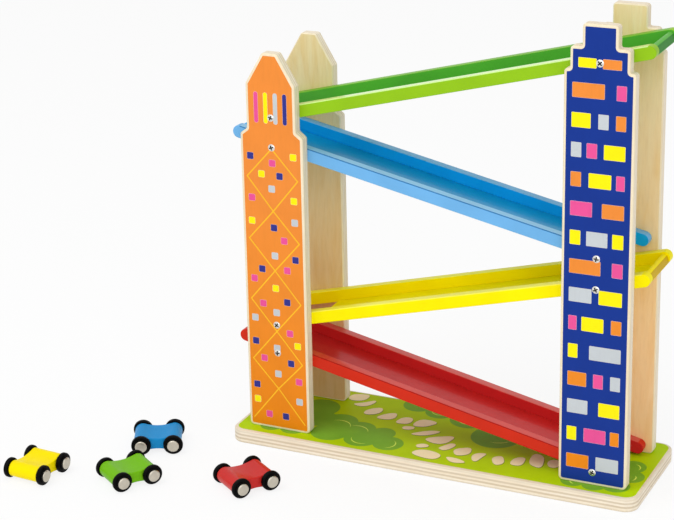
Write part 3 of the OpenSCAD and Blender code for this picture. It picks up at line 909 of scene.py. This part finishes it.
def makeStop(name, ends):
    # a bar across the high end, as long and high as its solid, with a broad round lip along its outer edge; it takes
    # the deeper Inside paint as painted shade, and its outer side the darker End paint, a painted shade
    outward = (ends[1] - ends[0]).normalized()
    up = Vector((-outward.z, 0, outward.x)) * rampHighSide[name]
    solid = copyShape(f"{name}_ramp_stop")
    reach = [point.co.dot(outward) / mm for point in solid.verts]
    level = [point.co.dot(up) / mm for point in solid.verts]
    sides = [point.co.y for point in solid.verts]
    solid.free()
    edge = stopBar["edge"]
    profile = roundCorners([(min(reach), min(level), edge), (max(reach), min(level), edge),
                            (max(reach), max(level), stopBar["lip"]), (min(reach), max(level), edge)], 6)
    shape = bmesh.new()
    rings = []
    for y in (min(sides), max(sides)):
        rings.append([shape.verts.new((outward * p.x + up * p.y) * mm + Vector((0, y, 0))) for p in profile])
        shape.faces.new(rings[-1])
    for face, point, nextPoint in zip(joinRings(shape, *rings), profile, profile[1:] + profile[:1]):
        way = nextPoint - point
        # painted shade: the faces of the outer side get the darker End paint
        if way.y > 0 and -way.x < stopBar["darkLean"] * way.length:
            face.material_index = 1
    link(f"{name}RampStop", shape, [paints[name]["Inside"], paints[name]["End"]], f"{name}_ramp_stop")


def railPaint(part, middle, normal, ends):
    # which of railPaints a face shows: painted shade on the inner faces, painted reflections on the tops, and a
    # painted shade line or highlight along the front rail's outer top edge
    outward = normal.y if middle.y > 0 else -normal.y
    if outward < -rail["insideNormal"] and abs(middle.y) / mm < rail["inner"] + rail["insideDepth"]:
        return "Inside"
    if not 0 < lineShare(middle, ends) < 1:
        return "Outside"
    if part == "rear_rail":
        return "FarTop" if normal.z > rail["farTopNormal"] else "Outside"
    least, most = rail["edgeOutward"]
    if least < outward < most and normal.z > rail["edgeUp"]:
        return "Edge"
    return "Top" if normal.z > rail["topNormal"] else "Outside"


def makeRamp(name):
    ends = rampLine(name)

    def onRim(point):
        flush = any(abs(abs(point.y) / mm - y) < rail["flushWithin"] for y in (rail["inner"], rail["outer"]))
        return flush and abs(offLine(point, ends) - rail["radius"]) < rail["rimWithin"]

    for part in ("front_rail", "rear_rail"):
        node = f"{name}_ramp_{part}"
        shape = copyShape(node)
        roundEdges(shape, onRim, rail["edge"] * mm)
        shape.normal_update()
        for face in shape.faces:
            paint = railPaint(part, face.calc_center_median(), face.normal, ends)
            face.material_index = railPaints.index(paint)
        link(pieceName(node), shape, [paints[name][where] for where in railPaints], node)
    # the floor's deeper paint is a painted shade of the channel
    shape = copyShape(f"{name}_ramp_floor")
    roundEdges(shape, lambda point: True, rampFloor["edge"] * mm, 2)
    link(f"{name}RampFloor", shape, [paints[name]["Floor"]], f"{name}_ramp_floor")
    makeStop(name, ends)


for name in rampHighSide:
    makeRamp(name)
print("ramps made")


# screws

# in millimetres from the toy's middle plane: the depths of a recess's points, its new floor and the face
screw = {
    "turnStep": 37, "recess": (43.6, 43.95), "recessReach": 2.3, "recessFloor": 44.06,
    "face": 43.99, "headGrowth": 1.1, "sharpAngle": 40, "wallBelow": 0.1, "floorAbove": 0.9, "floorWithin": 0.02,
}


def separateShells(shape):
    # the loose solids of one mesh, each as its own list of points
    left, shells = set(shape.verts), []
    for start in shape.verts:
        if start not in left:
            continue
        left.discard(start)
        shell, queue = [start], [start]
        while queue:
            for edge in queue.pop().link_edges:
                for point in edge.verts:
                    if point in left:
                        left.discard(point)
                        shell.append(point)
                        queue.append(point)
        shells.append(shell)
    return shells


def raiseHead(shell, middle):
    # the cross ends just above the printed face, where it still shows, and the head is a little wider
    near, far = screw["recess"]
    for point in shell:
        reach = math.hypot(point.co.x - middle.x, point.co.z - middle.z) / mm
        if near < abs(point.co.y) / mm < far and reach < screw["recessReach"]:
            point.co.y = math.copysign(screw["recessFloor"] * mm, point.co.y)
        if abs(point.co.y) / mm > screw["face"]:
            point.co.x = middle.x + (point.co.x - middle.x) * screw["headGrowth"]
            point.co.z = middle.z + (point.co.z - middle.z) * screw["headGrowth"]


def paintCrossShade(shape):
    # painted shade: the walls and floor of each cross get the dark material
    shape.normal_update()
    for face in shape.faces:
        depth, slope = abs(face.calc_center_median().y / mm), abs(face.normal.y)
        wall = slope < screw["wallBelow"] and depth > screw["recessFloor"]
        floor = slope > screw["floorAbove"] and abs(depth - screw["recessFloor"]) < screw["floorWithin"]
        if wall or floor:
            face.material_index = 1


def makeScrews(node, axis, raised):
    shape = copyShape(node)
    for number, shell in enumerate(separateShells(shape)):  # each was driven home at its own angle
        xs, ys, zs = zip(*(point.co for point in shell))
        middle = Vector(((min(xs) + max(xs)) / 2, (min(ys) + max(ys)) / 2, (min(zs) + max(zs)) / 2))
        turn = Matrix.Rotation(math.radians(screw["turnStep"] * number), 3, axis)
        bmesh.ops.rotate(shape, verts=shell, cent=middle, matrix=turn)
        if raised:
            raiseHead(shell, middle)
    if raised:
        paintCrossShade(shape)
    link(pieceName(node), shape, [hard["screwSteel"], hard["screwCrossShade"]], node, screw["sharpAngle"])


makeScrews("ramp_screws", "Y", True)
makeScrews("base_screws", "Z", False)
print("screws made")


# cars

carBody = {"half": 15.1, "edge": 1.0, "boreClear": 2.4, "sideWithin": 0.02}
# millimetres, along the axle from the car's middle; the crown is how far the tread stands up in its middle
wheel = {
    "start": 15.5, "bore": 1.51, "gap": 0.01, "chamfer": 0.1, "sharpAngle": 28,
    "tyreRadius": 8.85, "tyreInner": 5.71, "tyreWidth": 4.19, "tyreRound": 1.3, "crown": 0.036,
    "hubSeat": 5.7, "hubFlange": 6.5, "flangeWidth": 1.0, "hubRound": 0.4,
    "discRadius": 5.25, "discThick": 1.4, "discBevel": 0.6, "discSoft": (0.03, 0.05, 0.06), "discWall": 0.7,
}


def arc(centre, radius, start, end, steps):
    turns = [math.radians(start + (end - start) * k / steps) for k in range(steps + 1)]
    return [(centre[0] + radius * math.cos(turn), centre[1] + radius * math.sin(turn)) for turn in turns]


def lathe(shape, profile, centre, axis, count=56):
    # turns a closed profile of (radius, distance along the axis), in millimetres
    side = axis.cross(Vector((0, 0, 1))).normalized()
    up = side.cross(axis)
    turns = [2 * math.pi * k / count for k in range(count)]
    rings = []
    for radius, along in profile:
        middle = centre + axis * along * mm
        if radius == 0:
            rings.append([shape.verts.new(middle)] * count)
        else:
            ways = [side * math.cos(turn) + up * math.sin(turn) for turn in turns]
            rings.append([shape.verts.new(middle + way * radius * mm) for way in ways])
    for first, second in zip(rings, rings[1:] + rings[:1]):
        joinRings(shape, first, second)


def tyreProfile():
    low, high = wheel["start"], wheel["start"] + wheel["tyreWidth"]
    inner, radius, soft = wheel["tyreInner"], wheel["tyreRadius"], wheel["tyreRound"]
    shoulder, cut = radius - wheel["crown"], wheel["chamfer"]
    tread = [(shoulder, low + soft + cut), (radius, (low + high) / 2), (shoulder, high - soft - cut)]
    lowRound = arc((radius - soft, low + soft), soft, -90, 0, 6)[:-1]
    highRound = arc((radius - soft, high - soft), soft, 0, 90, 6)[1:]
    return [(inner, low)] + lowRound + tread + highRound + [(inner, high)]


def hubProfile():
    low, bore, seat = wheel["start"], wheel["bore"], wheel["hubSeat"]
    rim, soft, cut = wheel["hubFlange"], wheel["hubRound"], wheel["chamfer"]
    flange = low + wheel["tyreWidth"] + wheel["gap"]
    out = flange + wheel["flangeWidth"]
    return ([(bore, low), (seat, low), (seat, flange), (rim - cut, flange), (rim, flange + cut)]
            + arc((rim - soft, out - soft), soft, 0, 90, 4) + [(bore, out)])


def discProfile():
    start = wheel["start"] + wheel["tyreWidth"] + wheel["flangeWidth"] + 2 * wheel["gap"]
    out = start + wheel["discThick"]
    bore, radius, chamfer, cut = wheel["bore"], wheel["discRadius"], wheel["chamfer"], wheel["discBevel"]
    fine, small, wide = wheel["discSoft"]  # these take the sharpness off the bevel's two edges
    wall = out - wheel["discWall"]
    return [(bore, start), (radius - chamfer, start), (radius, start + chamfer), (radius, out - cut - small),
            (radius - small, out - cut + fine), (radius - cut + fine, out - small), (radius - cut - wide, out),
            (0, out), (0, wall), (bore, wall)]


wheelParts = {
    "hubs": (hubProfile(), hard["hubPlastic"]),
    "tyres": (tyreProfile(), hard["tyreRubber"]),
    "discs": (discProfile(), hard["discSteel"]),
}


def makeCar(name):
    ahead = Vector(joints[f"{name}_car_roll"]["axis"]).normalized()
    across = Vector((0, 0, 1)).cross(ahead)
    middles = {end: Vector(joints[f"{name}_car_{end}_wheels_turn"]["pos_m"]) for end in ("front", "rear")}
    centre = (middles["front"] + middles["rear"]) / 2
    node = f"{name}_car_body"
    shape = copyShape(node)

    def onSide(point):
        sideways = abs((point - centre).dot(across)) / mm
        clear = all((point - middle - across * (point - middle).dot(across)).length / mm > carBody["boreClear"]
                    for middle in middles.values())
        return abs(sideways - carBody["half"]) < carBody["sideWithin"] and clear

    roundEdges(shape, onSide, carBody["edge"] * mm)
    link(pieceName(node), shape, [paints[name]["Car"]], node)
    for end, middle in middles.items():
        for part, (profile, material) in wheelParts.items():
            node = f"{name}_car_{end}_{part}"
            shape = bmesh.new()
            for axis in (across, -across):
                lathe(shape, profile, middle, axis)
            link(pieceName(node), shape, [material], node, wheel["sharpAngle"])
        axle = frame["nodes"][f"{name}_car_{end}_axle"]
        axle.data.materials.clear()
        axle.data.materials.append(hard["screwSteel"])


for name in paints:
    makeCar(name)
print("cars made")
